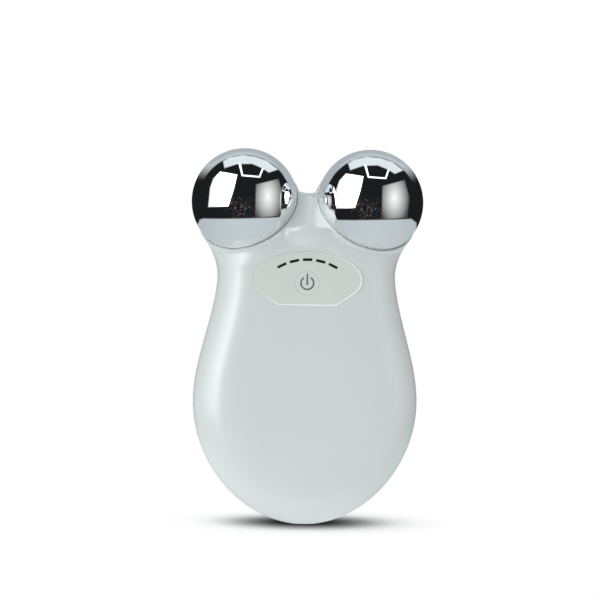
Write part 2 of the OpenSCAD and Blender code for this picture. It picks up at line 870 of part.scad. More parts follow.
// Pan-head screw from inside the rear shell into the ball
module ball_screw(side) {
    seat = -boss_end - terminal_t;
    color("silver")
        at_ball(side)
            difference() {
                union() {
                    translate([0, 0, seat - screw_head_h])
                        cylinder(r = screw_head_r, h = screw_head_h);
                    translate([0, 0, seat - 0.1])
                        cylinder(r = screw_r, h = screw_l + 0.1);
                }
                for (turn = [0, 90])
                    rotate([0, 0, turn])
                        translate([-1.5, -0.3, seat - screw_head_h - 1])
                            cube([3, 0.6, 2]);
            }
}

module left_ball_screw() {
    ball_screw(-1);
}

module right_ball_screw() {
    ball_screw(1);
}

// Ring terminal clamped under the screw's head, with a tail for its lead
module ball_terminal(side) {
    color("goldenrod")
        at_ball(side)
            translate([0, 0, -boss_end - terminal_t])
                linear_extrude(height = terminal_t)
                    difference() {
                        union() {
                            circle(r = terminal_r);
                            translate([-1, -terminal_tail])
                                square([2, terminal_tail]);
                        }
                        circle(r = screw_hole_r);
                    }
}

module left_ball_terminal() {
    ball_terminal(-1);
}

module right_ball_terminal() {
    ball_terminal(1);
}

// Lead from the terminal's tail to a pad on the back of the board
module ball_lead(side) {
    h = -boss_end - terminal_t - 0.55;
    tail = -terminal_tail + 1.4;
    base = [ball_x, -ball_forward, ball_height];
    out = [0, -cos(socket_forward), -sin(socket_forward)];
    down = [sin(socket_out) * -out[2], out[1], cos(socket_out) * out[2]];
    start = base + socket_axis * h + [-down[0], down[1], down[2]] * -tail;
    route = [
        start, start + [-0.5, -0.9, -1.4], start + [-1, -1.4, -3], [8, -0.2, 73.2], [7.5, -0.6, 71.6],
        [7.1, -1.3, 70.5], [7, -2.3, 70.1], [7, -3, 70], [7, -board_back + 0.03, 70]
    ];
    color("white")
        lead([for (p = route) [side * p[0], p[1], p[2]]], lead_r);
}

module left_ball_lead() {
    ball_lead(-1);
}

module right_ball_lead() {
    ball_lead(1);
}

// ---- circuit board and what is on it ----

module circuit_board() {
    half = board_w / 2;
    neck = board_neck_w / 2;
    color("darkgreen")
        difference() {
            forward_slab(board_back, board_y)
                polygon([
                    [-half + board_corner, board_bottom_z], [half - board_corner, board_bottom_z],
                    [half, board_bottom_z + board_corner], [half, board_shoulder_z], [neck, board_top_z],
                    [-neck, board_top_z], [-half, board_shoulder_z], [-half, board_bottom_z + board_corner]
                ]);
            for (side = [-1, 1], z = board_hole_z)
                forward_bar(side * board_hole_x, z, board_screw_r + 0.2, 0, far);
        }
}

module board_screws() {
    color("silver")
        for (side = [-1, 1], z = board_hole_z) {
            forward_bar(side * board_hole_x, z, board_screw_head_r,
                        board_back - board_screw_head_h, board_back);
            forward_bar(side * board_hole_x, z, board_screw_r, board_back - 0.1, board_back + board_screw_l);
        }
}

module switch_case() {
    half = switch_w / 2;
    color("dimgray")
        difference() {
            block([-half, -switch_front, button_z - half], [half, -board_y, button_z + half]);
            forward_bar(0, button_z, stem_r + touch, switch_front - 1.6, switch_front + 1);
        }
}

module switch_plunger() {
    color("black")
        forward_bar(0, button_z, stem_r, switch_front - 1.6 + button_travel + 0.2, plunger_front);
}

module level_leds() {
    color("white")
        forward_slab(board_y, board_y + led_h)
            at_windows()
                square([led_l, led_w], center = true);
}

module controller_chip() {
    color("black")
        translate([-controller_size[0] / 2, -board_back, controller_z])
            cube(controller_size);
}

module charger_chip() {
    color("black")
        translate([charger_corner[0], -board_back, charger_corner[1]])
            cube(charger_size);
}

module boost_coil() {
    color("dimgray")
        translate([coil_place[0], -board_back, coil_place[1]])
            rotate([-90, 0, 0]) {
                cylinder(r = coil_core_r, h = coil_h);
                for (low = [0, coil_h - coil_flange_t])
                    translate([0, 0, low])
                        cylinder(r = coil_flange_r, h = coil_flange_t);
            }
}

module board_capacitors() {
    color("tan")
        for (i = [0 : capacitor_count - 1])
            translate([capacitor_corner[0] + capacitor_pitch * i, -board_back, capacitor_corner[1]])
                cube(capacitor_size);
}

// ---- power pack ----

// Pouch cell with rounded long edges
module battery_cell() {
    r = cell_t / 2;
    half = cell_w / 2 - r;
    color("lightsteelblue")
        translate([0, cell_y + r, cell_z])
            linear_extrude(height = cell_h)
                union() {
                    square([2 * half, cell_t], center = true);
                    for (side = [-1, 1])
                        translate([side * half, 0])
                            circle(r = r);
                }
}

module battery_pad() {
    color("darkslategray")
        translate([pad_inset - cell_w / 2, cell_y + cell_t, cell_z + pad_inset])
            cube([cell_w - 2 * pad_inset, pad_t, cell_h - 2 * pad_inset]);
}

module battery_header() {
    color("ivory")
        difference() {
            translate([-header_size[0] / 2, -board_back, header_z])
                cube(header_size);
            translate([-header_inside / 2, -board_back + header_wall[1], header_z - header_wall[2]])
                cube([header_inside, header_size[1] - 2 * header_wall[1], header_size[2]]);
        }
}

module battery_plug() {
    color("white")
        translate([-plug_w / 2, -board_back + header_wall[1] + plug_clear / 2, header_z - plug_proud])
            cube([plug_w, plug_t, plug_proud + header_size[2] - header_wall[2] - plug_clear]);
}

// Lead from the top of the cell, past its side, to the plug
module battery_lead(side) {
    y = -board_back + 1.5;
    top = cell_z + cell_h;
    x = side * 1.1;
    route = [
        [x * 3, cell_y + cell_t / 2, top + 0.02], [x * 3, cell_y + cell_t / 2, top + 0.7],
        [x * 3.1, cell_y + cell_t / 2 - 1.4, top + 2.2], [x * 3.3, cell_y + 0.2, top + 2.6],
        [x * 3.6, cell_y - 1.2, top + 2], [x * 4, 2, top], [x * 4.2, 1.5, 58], [x * 4, 1.2, 50],
        [x * 3, 0.9, 44], [x * 1.8, 0.2, 41.2], [x * 1.1, -0.9, 40.4], [x, y + 0.4, 41],
        [x, y, 42.2], [x, y, header_z - plug_proud - 0.02]
    ];
    lead(route, lead_r);
}

module battery_lead_red() {
    color("red")
        battery_lead(1);
}

module battery_lead_black() {
    color("black")
        battery_lead(-1);
}

// ---- charging socket ----

module charging_socket() {
    half = jack_w / 2;
    color("black")
        difference() {
            block([-half, -half, jack_recess], [half, half, jack_recess + jack_l]);
            translate([0, 0, jack_recess - 1])
                cylinder(d = jack_bore_d, h = jack_l - 1);
            translate([0, 0, jack_recess + jack_l - 2.5])
                cylinder(d = jack_pin_d, h = 5);
        }
}

module socket_pin() {
    color("goldenrod")
        translate([0, 0, jack_recess + 1.4])
            cylinder(d = jack_pin_d - touch, h = jack_l - 1.4);
}

module socket_leads() {
    top = jack_recess + jack_l;
    color("gray")
        for (side = [-1, 1])
            lead([
                [side * (jack_w / 2 + 0.4), 0, top + 2.4], [side * (jack_w / 2 + 0.6), -0.1, top + 4.4],
                [side * 5, -0.4, 22], [side * 6.2, -1, 30], [side * 6.4, -1.9, 38], [side * 6.4, -2.9, 43],
                [side * 6.4, lead_r + 0.02 - board_back, 46], [side * 6.4, lead_r + 0.02 - board_back, 48.5]
            ], lead_r);
}

front_shell();
rear_shell();
control_panel();
power_button();
light_guide();
left_ball();
right_ball();
left_ball_screw();
right_ball_screw();
left_ball_terminal();
right_ball_terminal();
left_ball_lead();
right_ball_lead();
circuit_board();
board_screws();
switch_case();
switch_plunger();
level_leds();
controller_chip();
charger_chip();
boost_coil();
board_capacitors();
battery_cell();
battery_pad();
battery_lead_red();
battery_lead_black();
battery_header();
battery_plug();
charging_socket();
socket_pin();
socket_leads();
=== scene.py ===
"""Looks of the facial toning device: moulded housing, two polished balls, control panel, button.

The housing's two shells, the balls, the panel and the button are surfaces worked out with numpy
from the same driving sizes as the part's source, and stand for their CAD nodes. Sizes are in
millimetres and become metres in place(). The panel faces -Y, +Z is up, and the parting plane is
y = 0.
"""
import math

import bpy
import numpy as np
from mathutils import Matrix, Vector


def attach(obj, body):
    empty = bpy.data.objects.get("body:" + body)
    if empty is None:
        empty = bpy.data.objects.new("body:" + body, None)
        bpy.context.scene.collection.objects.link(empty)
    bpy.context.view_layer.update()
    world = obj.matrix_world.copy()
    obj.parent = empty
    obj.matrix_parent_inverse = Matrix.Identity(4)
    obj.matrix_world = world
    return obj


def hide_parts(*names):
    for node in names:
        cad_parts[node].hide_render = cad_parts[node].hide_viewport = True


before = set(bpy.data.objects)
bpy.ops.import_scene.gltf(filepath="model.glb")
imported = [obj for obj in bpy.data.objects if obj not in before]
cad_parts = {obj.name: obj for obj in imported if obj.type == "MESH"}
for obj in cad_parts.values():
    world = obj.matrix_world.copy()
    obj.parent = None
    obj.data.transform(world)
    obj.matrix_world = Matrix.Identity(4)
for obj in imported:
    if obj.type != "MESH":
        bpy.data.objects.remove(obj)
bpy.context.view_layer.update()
MM = 0.001

# ---- driving sizes, in millimetres ----

BALL_R = 15.5
BALL_X = 18.35
BALL_FORWARD = 4.0
BALL_HEIGHT = 94.5
BALL_WALL = 1.6
BALL_POST_R = 4.0
BALL_FLAT_R = 2.5
BALL_BORE_R = 1.5
BALL_POST_END = -4.5
SOCKET_OUT = math.radians(28)
SOCKET_FORWARD = math.radians(40)
RIM_SETBACK = 3.65
SEAT_GAP = 0.08
RIM_LIP = 0.5
SOCKET_TAPER = math.radians(4.5)
SOCKET_DEPTH = 18.0
SOCKET_FRONT = 6.0
SOCKET_END_ROUND = 10.0
SEAT_WALL = 1.8

BELLY_HALF = 32.9
BELLY_Z = 35.6
BELLY_DROP = 36.0
BELLY_FULLNESS = 1.93
NECK_HALF = 25.9
NECK_Z = 75.0
HEAD_Z = 81.0
WAIST_Z = 36.0
SHOULDER_Z = 72.0
SHOULDER_RISE = 21.0
SHOULDER_ROLL = 2.4
FACE_Y = 12.8
FRONT_CROWN = 14.2
FRONT_CROWN_HEAD = 13.8
REAR_Y = 16.5
REAR_Y_HEAD = 16.0
FRONT_ROLL = 3.1
REAR_ROLL = 2.5
FACE_BLEND = 1.6
HOLLOW_DEPTH = 0.5
HOLLOW_Z = 36.0
HOLLOW_HALF = (20.0, 24.0)
HOLLOW_EDGE = 1.15
WALL = 2.0
SEAM_DEPTH = 0.1
SEAM_WIDTH = 0.14

FILLET = 5.0
REAR_FILLET = 6.0
REAR_FILLET_FROM = 2.0
REAR_FILLET_OVER = 8.0
FILLET_FADE = 4.0
BRIDGE_TOP = (-7.2, 92.7, 3.6)
BRIDGE_TOE = (-9.2, 86.8, 5.6)
BRIDGE_SPREAD = 0.35
BRIDGE_BLEND = 1.6

PANEL_HALF = 16.0
PANEL_TOP_Z = 80.3
PANEL_MID_Z = 71.8
PANEL_BOTTOM_Z = 64.6
PANEL_FOOT_HALF = 8.4
PANEL_FRONT = 12.85
PANEL_GAP = 0.02
PANEL_BEVEL = 0.05
PANEL_LINE = (0.06, 0.4)
PANEL_LINE_PROUD = 0.012
PANEL_LINE_SUNK = 0.05
POCKET_ROUND = 0.08
POCKET_FLOOR = 11.8
WINDOW_COUNT = 5
WINDOW_L = 2.6
WINDOW_H = 0.62
WINDOW_GAP = 0.08
WINDOW_ARC_R = 16.7
WINDOW_STEP = math.radians(13.2)
WINDOW_Z = 78.0
BUTTON_R = 3.5
BUTTON_Z = 71.2
BUTTON_GAP = 0.02
BUTTON_BACK = 8.33
BUTTON_ROUND = 0.06
BUTTON_SUNK = 0.05
BUTTON_FRONT = PANEL_FRONT - BUTTON_SUNK
HOLE_ROUND = 0.05
FLANGE_R = 4.4
FLANGE_FRONT = 10.75
FLANGE_T = 0.8
STEM_R = 1.7
ICON_R = 1.84
ICON_STROKE = 0.48
ICON_OPENING = math.radians(38)
ICON_BAR = (-0.4, 2.6)
ICON_PROUD = 0.015
ICON_SUNK = 0.1

MOUTH_R = 2.05
JACK_SEAT_HALF = 3.25
JACK_Z = (2.15, 13.25)

CORE_Z = 72.0
CORE = np.array([0.0, 0.0, CORE_Z])
SEAT_R = BALL_R + SEAT_GAP
RIM_R = math.sqrt(SEAT_R**2 - RIM_SETBACK**2) + RIM_LIP
RIM_FORWARD = (BALL_FORWARD - RIM_SETBACK * math.sin(SOCKET_FORWARD)
               + RIM_R * math.cos(SOCKET_FORWARD))
SOCKET_AXIS = np.array([
    math.sin(SOCKET_OUT) * math.cos(SOCKET_FORWARD),
    -math.sin(SOCKET_FORWARD),
    math.cos(SOCKET_OUT) * math.cos(SOCKET_FORWARD),
])

# ---- the housing's form, as distances ----

LEAST_BLEND = 1e-3
LEAST_SHARE = 1e-4
RAY_LEAST, RAY_MOST = 3.0, 80.0
HALVINGS = 26


def ease(t):
    """3t^2 - 2t^3, held between 0 and 1."""
    t = np.clip(t, 0, 1)
    return t * t * (3 - 2 * t)


def soft_min(a, b, k):
    """The smaller of two distances, less h^2 k / 4 where they are closer than k.

    h = (k - |a - b|) / k.
    """
    k = np.maximum(k, LEAST_BLEND)
    h = np.maximum(k - np.abs(a - b), 0) / k
    return np.minimum(a, b) - h * h * k / 4


def soft_max(a, b, k):
    """The larger of two distances, rounded in the same way."""
    return -soft_min(-a, -b, k)


def half_width(z):
    """Half width of the outline: the belly's, easing to the neck's above the waist."""
    return BELLY_HALF + (NECK_HALF - BELLY_HALF) * ease((z - WAIST_Z) / (NECK_Z - WAIST_Z))


def outline_share(x, z):
    """(|x / w|^n + |drop|^n)^(1/n): 1 on the outline, with an n of its own above the shoulder."""
    across = np.abs(x) / half_width(z)
    low = np.maximum(BELLY_Z - z, 0) / BELLY_DROP
    high = np.maximum(z - SHOULDER_Z, 0) / SHOULDER_RISE
    lower = (across**BELLY_FULLNESS + low**BELLY_FULLNESS) ** (1 / BELLY_FULLNESS)
    upper = (across**SHOULDER_ROLL + high**SHOULDER_ROLL) ** (1 / SHOULDER_ROLL)
    return np.where(z < SHOULDER_Z, lower, upper)


def face_depth(x, z):
    """Distance forward to the flat face, less a thumb hollow that eases out over an oval."""
    oval = np.hypot(x / HOLLOW_HALF[0], (z - HOLLOW_Z) / HOLLOW_HALF[1])
    return FACE_Y - HOLLOW_DEPTH * ease(HOLLOW_EDGE - oval)


def body_distance(x, y, z):
    """(g - 1) / |grad g| of a rolled form, cut by the flat face.

    g = (share^n + |y / depth|^n)^(1/n), where depth and n differ in front and behind.
    """
    head = ease((z - BELLY_Z) / (HEAD_Z - BELLY_Z))
    front = y < 0
    depth = np.where(front, FRONT_CROWN + (FRONT_CROWN_HEAD - FRONT_CROWN) * head,
                     REAR_Y + (REAR_Y_HEAD - REAR_Y) * head)
    roll = np.where(front, FRONT_ROLL, REAR_ROLL)
    share = np.maximum(outline_share(x, z), LEAST_SHARE)
    away = np.maximum(np.abs(y) / depth, LEAST_SHARE)
    reach = (share**roll + away**roll) ** (1 / roll)
    slope_across = (share / reach) ** (roll - 1) / half_width(z)
    slope_away = (away / reach) ** (roll - 1) / depth
    rolled = (reach - 1) / np.hypot(slope_across, slope_away)
    return soft_max(rolled, -y - face_depth(x, z), FACE_BLEND)


def socket_distance(x, y, z, side):
    """Distance from a socket's tapered wall with its rounded end, and the height on its axis."""
    axis = SOCKET_AXIS * (side, 1, 1)
    px, py, pz = x - side * BALL_X, y + BALL_FORWARD, z - BALL_HEIGHT
    h = px * axis[0] + py * axis[1] + pz * axis[2]
    r = np.sqrt(np.maximum(px * px + py * py + pz * pz - h * h, 0))
    wall = (r - RIM_R - (h + RIM_SETBACK) * math.tan(SOCKET_TAPER)) * math.cos(SOCKET_TAPER)
    ahead = np.where(h > -RIM_SETBACK, -y - RIM_FORWARD - RIM_LIP, -1)
    closed = soft_max(wall, -h - SOCKET_DEPTH, SOCKET_END_ROUND)
    return np.maximum(np.maximum(closed, h - SOCKET_FRONT), ahead), h


def bridge_distance(x, y, z):
    """Distance from a bar between two centres that eases deeper and wider from one to the other."""
    top_y, top_z, top_r = BRIDGE_TOP
    run_y, run_z, run_r = np.subtract(BRIDGE_TOE, BRIDGE_TOP)
    t = ((y - top_y) * run_y + (z - top_z) * run_z) / (run_y**2 + run_z**2)
    t = np.clip(t, 0, 1)
    across = x / (1 + BRIDGE_SPREAD * ease(t))
    off = np.sqrt(across**2 + (y - top_y - t * run_y) ** 2 + (z - top_z - t * run_z) ** 2)
    return off - (top_r + run_r * ease(t))


def outside_distance(p):
    """Body, two sockets and bridge, joined by fillets that fade out at the rims."""
    x, y, z = p[..., 0], p[..., 1], p[..., 2]
    whole = body_distance(x, y, z)
    behind = REAR_FILLET * ease((y - REAR_FILLET_FROM) / REAR_FILLET_OVER)
    for side in (1, -1):
        socket, h = socket_distance(x, y, z, side)
        width = (FILLET + behind) * ease((-RIM_SETBACK - h) / FILLET_FADE)
        whole = soft_min(whole, socket, width)
    return soft_min(whole, bridge_distance(x, y, z), BRIDGE_BLEND)


def inside_distance(p):
    """The body less its wall, kept clear of the ball seats."""
    x, y, z = p[..., 0], p[..., 1], p[..., 2]
    off = np.sqrt((np.abs(x) - BALL_X) ** 2 + (y + BALL_FORWARD) ** 2 + (z - BALL_HEIGHT) ** 2)
    return np.maximum(body_distance(x, y, z) + WALL, SEAT_R + SEAT_WALL - off)


def reach_out(way, distance):
    """Points where rays from the core leave the form, found by halving."""
    low = np.full(way.shape[:-1], RAY_LEAST)
    high = np.full(way.shape[:-1], RAY_MOST)
    for _ in range(HALVINGS):
        middle = (low + high) / 2
        out = distance(CORE + way * middle[..., None]) > 0
        high = np.where(out, middle, high)
        low = np.where(out, low, middle)
    return CORE + way * ((low + high) / 2)[..., None]


# ---- building meshes ----

BALL_COLUMNS = 256
TURNED_COLUMNS = 128
SMALL_COLUMNS = 96
CREASE = 35
BALL_CREASE = 25


def ring_faces(rows, columns, closed=True):
    """Quads between a grid's rows, each closed round, and from the last row to the first."""
    j, i = np.meshgrid(np.arange(rows if closed else rows - 1), np.arange(columns), indexing="ij")
    k, m = (i + 1) % columns, (j + 1) % rows
    quads = np.stack([j * columns + i, j * columns + k, m * columns + k, m * columns + i], -1)
    return quads.reshape(-1, 4).tolist()


def grid_faces(rows, columns):
    """Quads between a grid's rows, and a fan from each end row to one point beyond it."""
    i = np.arange(columns)
    k = (i + 1) % columns
    pole = rows * columns
    base = pole - columns
    start = np.stack([np.full(columns, pole), k, i], -1).tolist()
    end = np.stack([np.full(columns, pole + 1), base + i, base + k], -1).tolist()
    return ring_faces(rows, columns, closed=False) + start + end


def signed_volume(points, faces):
    """Sum of tetrahedra from the origin to each face's triangles: positive if they face out."""
    total = 0.0
    for corners in (3, 4):
        some = np.array([f for f in faces if len(f) == corners])
        for k in range(1, corners - 1) if len(some) else ():
            a, b, c = points[some[:, 0]], points[some[:, k]], points[some[:, k + 1]]
            total += np.einsum("ij,ij->", a, np.cross(b, c))
    return total


def place(name, points, faces, crease=None):
    """An object from points in millimetres, its faces turned outwards and smooth up to an angle."""
    points = np.asarray(points, float).reshape(-1, 3)
    if signed_volume(points, faces) < 0:
        faces = [f[::-1] for f in faces]
    mesh = bpy.data.meshes.new(name)
    mesh.from_pydata((points * MM).tolist(), [], faces)
    mesh.update()
    mesh.shade_smooth()
    if crease:
        mesh.set_sharp_from_angle(angle=math.radians(crease))
    piece = bpy.data.objects.new(name, mesh)
    bpy.context.collection.objects.link(piece)
    return piece


def settle(piece, body, material, nodes=()):
    """The piece rides on its body, takes its finish and stands for its nodes."""
    piece.data.materials.clear()
    piece.data.materials.append(material)
    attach(piece, body)
    if nodes:
        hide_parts(*nodes)


def revolved(profile, columns):
    """A profile of (radius, height) turned about +Z; its first and last points lie on the axis."""
    profile = np.asarray(profile, float)
    a = np.linspace(0, 2 * math.pi, columns, endpoint=False)
    r, h = profile[1:-1, 0, None], profile[1:-1, 1, None]
    rows = np.stack([r * np.cos(a), r * np.sin(a), h + 0 * a], -1)
    poles = [[0, 0, profile[0, 1]], [0, 0, profile[-1, 1]]]
    return np.concatenate([rows.reshape(-1, 3), poles]), grid_faces(len(profile) - 2, columns)


def drum(r, low, high, columns):
    """A closed cylinder about +Z between two heights."""
    return revolved([(0, low), (r, low), (r, high), (0, high)], columns)


def arc(r, start, end, n):
    """Points (r sin a, r cos a) of a profile, for angles a away from +Z."""
    a = np.linspace(start, end, n)
    return np.stack([r * np.sin(a), r * np.cos(a)], -1)


def rounded_edge(r, n=7):
    """Offsets (inset, drop) of a quarter round of radius r, from the side to the face."""
    a = np.linspace(0, math.pi / 2, n)
    return np.stack([r * (1 - np.cos(a)), r * (1 - np.sin(a))], -1)


def set_forward(outline, y):
    """A flat outline in X and Z at a distance y forward of the parting plane."""
    return np.stack([outline[:, 0], np.full(len(outline), -y), outline[:, 1]], -1)


def prism(outline, low, high):
    """A flat outline carried along Y from one distance forward to another."""
    outline = np.asarray(outline, float)
    n = len(outline)
    faces = [[i, (i + 1) % n, n + (i + 1) % n, n + i] for i in range(n)]
    faces += [list(range(n))[::-1], [n + i for i in range(n)]]
    return np.concatenate([set_forward(outline, low), set_forward(outline, high)]), faces


def box_outline(half_x, half_z, x=0.0, z=0.0, turn=0.0):
    """Corners of a rectangle turned clockwise about its centre."""
    corners = np.array([[-1, -1], [1, -1], [1, 1], [-1, 1]]) * (half_x, half_z)
    c, s = math.cos(turn), math.sin(turn)
    return corners @ np.array([[c, -s], [s, c]]) + (x, z)


def circle_outline(r, z):
    """Points of a circle in X and Z about a point on the middle line."""
    a = np.linspace(0, 2 * math.pi, SMALL_COLUMNS, endpoint=False)
    return np.stack([r * np.cos(a), z + r * np.sin(a)], -1)


def ball_frame(side):
    """Matrix from a ball's own frame, +Z out of its socket, to the part's frame."""
    centre = Matrix.Translation((side * BALL_X, -BALL_FORWARD, BALL_HEIGHT))
    turn = Matrix.Rotation(side * SOCKET_OUT, 4, "Y") @ Matrix.Rotation(SOCKET_FORWARD, 4, "X")
    return np.array(centre @ turn)


def turned(points, matrix):
    """Points through a matrix."""
    return points @ matrix[:3, :3].T + matrix[:3, 3]


# ---- housing shells ----

COLUMNS = 560
ROWS = 124
INNER_ROWS = 14
ROW_POWER = 1.5
TOP_CROWDING = math.radians(12)
GRID_MIDDLE_Z = 52.0
GRID_HALF_HEIGHT = 54.0
ON_FORM = 0.03
GRADIENT_STEP = 0.01
LEAST_LENGTH = 1e-9
NORMALS_AGREE = math.cos(math.radians(25))

PANEL_COLUMNS = 360
OUTLINE_POINTS = 1440
OUTLINE_REACH = 20
OVAL_POINTS = 181
OVAL_POWER = 0.92
OVAL_ENDS = (12, 24, 36)
POCKET_MOUTH = 5.0
THROUGH_FACE = (5.0, 30.0)
SEAT_ROWS = 121
RIM_CLEARANCE = 7.0
CUT_REACH = 60.0
FLAT_CUT = 5.0
MOUTH_CUT = (-1.0, 8.0)


def column_ways():
    """Directions in the parting plane from the core to an oval's points.

    They lie at angles u + c cos u, which crowds them towards the top.
    """
    u = np.linspace(0, 2 * math.pi, COLUMNS, endpoint=False) + math.pi / 2
    a = u + TOP_CROWDING * np.cos(u)
    rise = GRID_MIDDLE_Z - CORE_Z + GRID_HALF_HEIGHT * np.sin(a)
    v = np.stack([BELLY_HALF * np.cos(a), 0 * a, rise], -1)
    return v / np.linalg.norm(v, axis=-1, keepdims=True)


def surface_rows(angles, facing, distance):
    """Points on the form along cos a of a way in the parting plane and sin a of one across it."""
    ways = column_ways()[None] * np.cos(angles)[..., None]
    ways = ways + np.array([0, facing, 0]) * np.sin(angles)[..., None]
    return reach_out(ways, distance)


def pulled_in(row, inset):
    """A row in the parting plane moved towards the core."""
    v = row - CORE
    length = np.linalg.norm(v, axis=-1, keepdims=True)
    return v * (length - inset) / length + CORE


def shell(name, facing):
    """Rows from the outer pole to a fine seam groove, the flat edge, and rows to the inner pole."""
    share = (np.arange(1, ROWS) / ROWS) ** ROW_POWER
    edge = surface_rows(np.zeros((1, COLUMNS)), facing, outside_distance)[0]
    first = np.arctan(SEAM_WIDTH / np.linalg.norm(edge - CORE, axis=-1))
    angles = first + (math.pi / 2 - first) * np.concatenate([[0], share])[:, None]
    outer = surface_rows(angles, facing, outside_distance)
    angles = math.pi / 2 * (np.arange(INNER_ROWS) / INNER_ROWS)[:, None] * np.ones(COLUMNS)
    inner = surface_rows(angles, facing, inside_distance)
    pole_way = np.array([[0.0, facing, 0.0]])
    poles = [reach_out(pole_way, distance)[0] for distance in (outside_distance, inside_distance)]
    rows = np.concatenate([outer[::-1], pulled_in(edge, SEAM_DEPTH)[None], inner])
    points = np.concatenate([rows.reshape(-1, 3), poles])
    return place(name, points, grid_faces(len(rows), COLUMNS))


def cut(piece, cutters):
    """Takes closed cutters out of a piece and applies the result."""
    for i, (points, faces) in enumerate(cutters):
        tool = place(f"cutter_{i}", points, faces)
        step = piece.modifiers.new(f"cut_{i}", "BOOLEAN")
        step.operation = "DIFFERENCE"
        step.solver = "MANIFOLD"
        step.object = tool
    graph = bpy.context.evaluated_depsgraph_get()
    mesh = bpy.data.meshes.new_from_object(piece.evaluated_get(graph))
    tools = [step.object for step in piece.modifiers]
    piece.modifiers.clear()
    old = piece.data
    piece.data = mesh
    bpy.data.meshes.remove(old)
    for tool in tools:
        bpy.data.meshes.remove(tool.data)


def read_all(items, key, width, kind=np.float32):
    """A value of every item, as rows of the given width, or as a plain row where it is 1."""
    values = np.empty(len(items) * width, kind)
    items.foreach_get(key, values)
    return values.reshape(-1, width) if width > 1 else values


def true_normals(piece):
    """Corner normals from the form's gradient on its outer surface, from the faces elsewhere."""
    mesh = piece.data
    vertex = read_all(mesh.loops, "vertex_index", 1, np.int32)
    p = read_all(mesh.vertices, "co", 3).astype(float) / MM
    on_form = np.abs(outside_distance(p)) < ON_FORM
    steps = np.eye(3) * GRADIENT_STEP
    gradient = np.stack([outside_distance(p + e) - outside_distance(p - e) for e in steps], -1)
    gradient /= np.maximum(np.linalg.norm(gradient, axis=-1, keepdims=True), LEAST_LENGTH)
    corners = read_all(mesh.polygons, "loop_total", 1, np.int32)
    flat = np.repeat(read_all(mesh.polygons, "normal", 3), corners, axis=0)
    smooth = gradient[vertex]
    agree = np.einsum("ij,ij->i", flat, smooth) > NORMALS_AGREE
    use = (on_form[vertex] & agree)[:, None]
    mesh.shade_smooth()
    mesh.normals_split_custom_set(np.where(use, smooth, flat).tolist())


def window_cutters():
    """A prism through the face for each level window with its gap, turned to follow the arc."""
    for i in range(WINDOW_COUNT):
        a = (i - (WINDOW_COUNT - 1) / 2) * WINDOW_STEP
        x, z = WINDOW_ARC_R * math.sin(a), WINDOW_Z - WINDOW_ARC_R * (1 - math.cos(a))
        outline = box_outline(WINDOW_L / 2 + WINDOW_GAP, WINDOW_H / 2 + WINDOW_GAP, x, z, a)
        yield prism(outline, *THROUGH_FACE)


def panel_outline(grow):
    """Upper half of an oval, then its lower half cut off straight and slanted, grown outwards.

    A smooth window run along the outline rounds its corners.
    """
    upper, lower = PANEL_TOP_Z - PANEL_MID_Z, PANEL_MID_Z - PANEL_BOTTOM_Z
    a = np.linspace(0, math.pi, OVAL_POINTS)
    top = np.stack([PANEL_HALF * np.cos(a), PANEL_MID_Z + upper * np.sin(a) ** OVAL_POWER], -1)
    b = np.radians(OVAL_ENDS)
    left = np.stack([-PANEL_HALF * np.cos(b), PANEL_MID_Z - lower * np.sin(b)], -1)
    foot = np.array([[-PANEL_FOOT_HALF, PANEL_BOTTOM_Z], [PANEL_FOOT_HALF, PANEL_BOTTOM_Z]])
    points = np.concatenate([top, left, foot, left[::-1] * (-1, 1)])
    closed = np.concatenate([points, points[:1]])
    run = np.concatenate([[0], np.cumsum(np.linalg.norm(np.diff(closed, axis=0), axis=-1))])
    fine = np.linspace(0, run[-1], OUTLINE_POINTS, endpoint=False)
    even = np.stack([np.interp(fine, run, closed[:, k]) for k in (0, 1)], -1)
    weights = np.hanning(2 * OUTLINE_REACH + 1)
    weights /= weights.sum()
    wrapped = np.concatenate([even[-OUTLINE_REACH:], even, even[:OUTLINE_REACH]])
    even = np.stack([np.convolve(wrapped[:, k], weights, "valid") for k in (0, 1)], -1)
    along = np.roll(even, -1, 0) - np.roll(even, 1, 0)
    out = np.stack([along[:, 1], -along[:, 0]], -1)
    out /= np.linalg.norm(out, axis=-1, keepdims=True)
    return (even + out * grow)[:: OUTLINE_POINTS // PANEL_COLUMNS]


def pocket_cutter():
    """The panel's pocket: its outline, growing over a quarter round where it meets the face."""
    rings = [(0.0, POCKET_FLOOR)]
    rings += [(grow, FACE_Y - drop) for grow, drop in rounded_edge(POCKET_ROUND, 9)]
    rings.append((POCKET_ROUND, FACE_Y + POCKET_MOUTH))
    rows = [set_forward(panel_outline(PANEL_GAP + grow), y) for grow, y in rings]
    middle = (PANEL_TOP_Z + PANEL_BOTTOM_Z) / 2
    poles = [[0, -y, middle] for _, y in (rings[0], rings[-1])]
    return np.concatenate(rows + [poles]), grid_faces(len(rows), PANEL_COLUMNS)


def seat_cutters():
    """Ball seats, the space before each rim, the resting flat, the socket's mouth and its case."""
    seat = revolved(arc(SEAT_R, 0, math.pi, SEAT_ROWS), BALL_COLUMNS)
    space = drum(RIM_R + RIM_CLEARANCE, -RIM_SETBACK, 2 * BALL_R + SOCKET_FRONT, TURNED_COLUMNS)
    cutters = [(turned(points, ball_frame(side)), faces)
               for side in (-1, 1) for points, faces in (seat, space)]
    cutters.append(prism(box_outline(CUT_REACH, FLAT_CUT, 0, -FLAT_CUT), -CUT_REACH, CUT_REACH))
    cutters.append(drum(MOUTH_R, *MOUTH_CUT, SMALL_COLUMNS))
    middle = sum(JACK_Z) / 2
    case = box_outline(JACK_SEAT_HALF, JACK_Z[1] - middle, 0, middle)
    cutters.append(prism(case, -JACK_SEAT_HALF, JACK_SEAT_HALF))
    return cutters


# ---- materials ----


